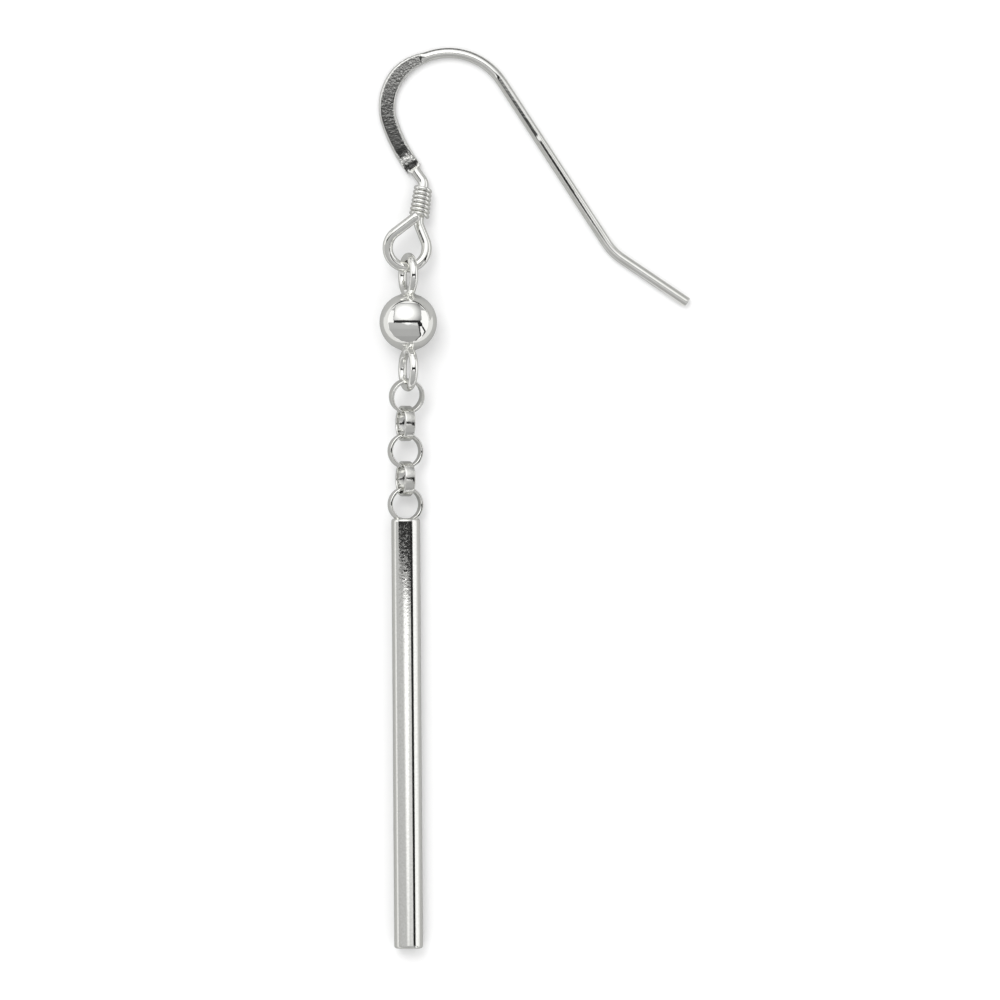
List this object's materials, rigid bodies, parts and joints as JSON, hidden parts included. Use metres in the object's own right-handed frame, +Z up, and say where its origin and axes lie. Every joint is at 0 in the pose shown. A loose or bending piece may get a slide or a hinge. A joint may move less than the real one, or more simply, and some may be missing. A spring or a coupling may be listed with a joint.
{
  "type": "bar drop earring",
  "caption": "Drop earring lying flat: ear hook with a coil-wrapped loop, a ball between soldered rings, a short link chain and a slim round bar.",
  "frame": {"origin": "on the surface that the earring lies on, under the middle of its box", "axes": "+Y along the drop from the bar toward the hook, +X across toward the tip of the hook, +Z up off the surface"},
  "size_m": [0.0218, 0.0628, 0.004],
  "materials": {
    "silver_wire": "polished silver, with a hammered matt flat on its front",
    "silver_coil": "drawn silver wire",
    "silver_ball": "mirror-polished silver",
    "silver_link": "tumbled bright silver",
    "silver_bar": "polished silver"
  },
  "bodies": {
    "root": {"ear_wire": "silver_wire", "wire_coil": "silver_coil", "ball_link": "silver_ball", "chain_link_1": "silver_link", "chain_link_2": "silver_link", "chain_link_3": "silver_link", "chain_link_4": "silver_link", "bar": "silver_bar"}
  },
  "joints": []
}
